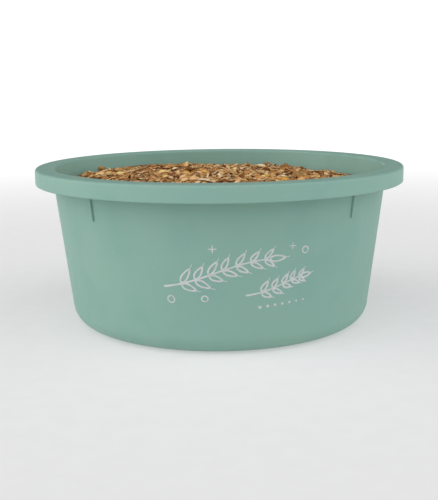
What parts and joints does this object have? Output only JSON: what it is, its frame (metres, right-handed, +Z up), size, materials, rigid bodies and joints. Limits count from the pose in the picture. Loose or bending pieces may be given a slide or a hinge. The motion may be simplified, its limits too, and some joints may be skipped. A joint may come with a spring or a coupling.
{
  "type": "feed bucket",
  "caption": "Low, wide round plastic stable feed bucket with a deep rolled rim and a pale print of oat sprigs on its front, filled with a heap of loose mixed feed.",
  "frame": {"origin": "centre of the base, on the plane the bucket stands on", "axes": "+Z up along the tub's axis; the print faces -Y; +X to the right seen from the print"},
  "size_m": [0.32, 0.32, 0.136],
  "materials": {
    "tub_plastic": "satin moulded polypropylene, sage green, with a fine moulded grain",
    "print_ink": "thin matt screen-printed ink, light grey",
    "mixed_feed": "dry crushed cereal, matt",
    "oat": "dry rolled oat, matt, cream to tan",
    "barley": "dry rolled barley, matt, tan with brown edges",
    "maize": "cooked maize flake, slightly waxy, yellow",
    "grass_pellet": "pressed grass meal, matt, green-brown",
    "straw": "dry straw, faint sheen along the stalk",
    "husk": "dry husk, papery, brown"
  },
  "bodies": {
    "tub": {"tub": "tub_plastic", "print_long_sprig": "print_ink", "print_short_sprig": "print_ink", "print_sparkles": "print_ink"},
    "feed": {"feed_bed": "mixed_feed", "feed_oat_flakes": "oat", "feed_barley_flakes": "barley", "feed_maize_flakes": "maize", "feed_pellets": "grass_pellet", "feed_straw_chop": "straw", "feed_seed_husks": "husk"}
  },
  "joints": [
    {"name": "feed_lift", "type": "slide", "parent": "tub", "child": "feed", "axis": [0, 0, 1], "range_m": [0, 0.15]}
  ]
}
